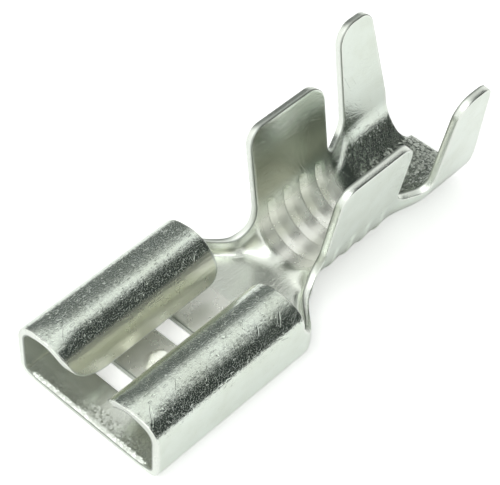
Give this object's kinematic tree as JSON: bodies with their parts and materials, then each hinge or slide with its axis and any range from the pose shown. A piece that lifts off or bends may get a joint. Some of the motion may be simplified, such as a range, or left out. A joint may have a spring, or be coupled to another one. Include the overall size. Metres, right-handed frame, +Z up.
{
  "type": "female blade crimp terminal",
  "caption": "Uninsulated push-on female blade terminal folded from plated sheet: rolled receptacle, slotted floor with a dimple, neck, serrated open wire barrel and taller insulation wings.",
  "frame": {"origin": "middle of the terminal's length and width, on the surface it lies on", "axes": "+X from the blade mouth to the cut end, +Y across to the left seen from the mouth, +Z up through the open sides of the barrels"},
  "size_m": [0.0206, 0.0074, 0.0072],
  "materials": {
    "tin_plate": "bright tin plate over brass sheet, with fine handling scratches and bright sheared edges"
  },
  "bodies": {
    "root": {"terminal": "tin_plate"}
  },
  "joints": []
}
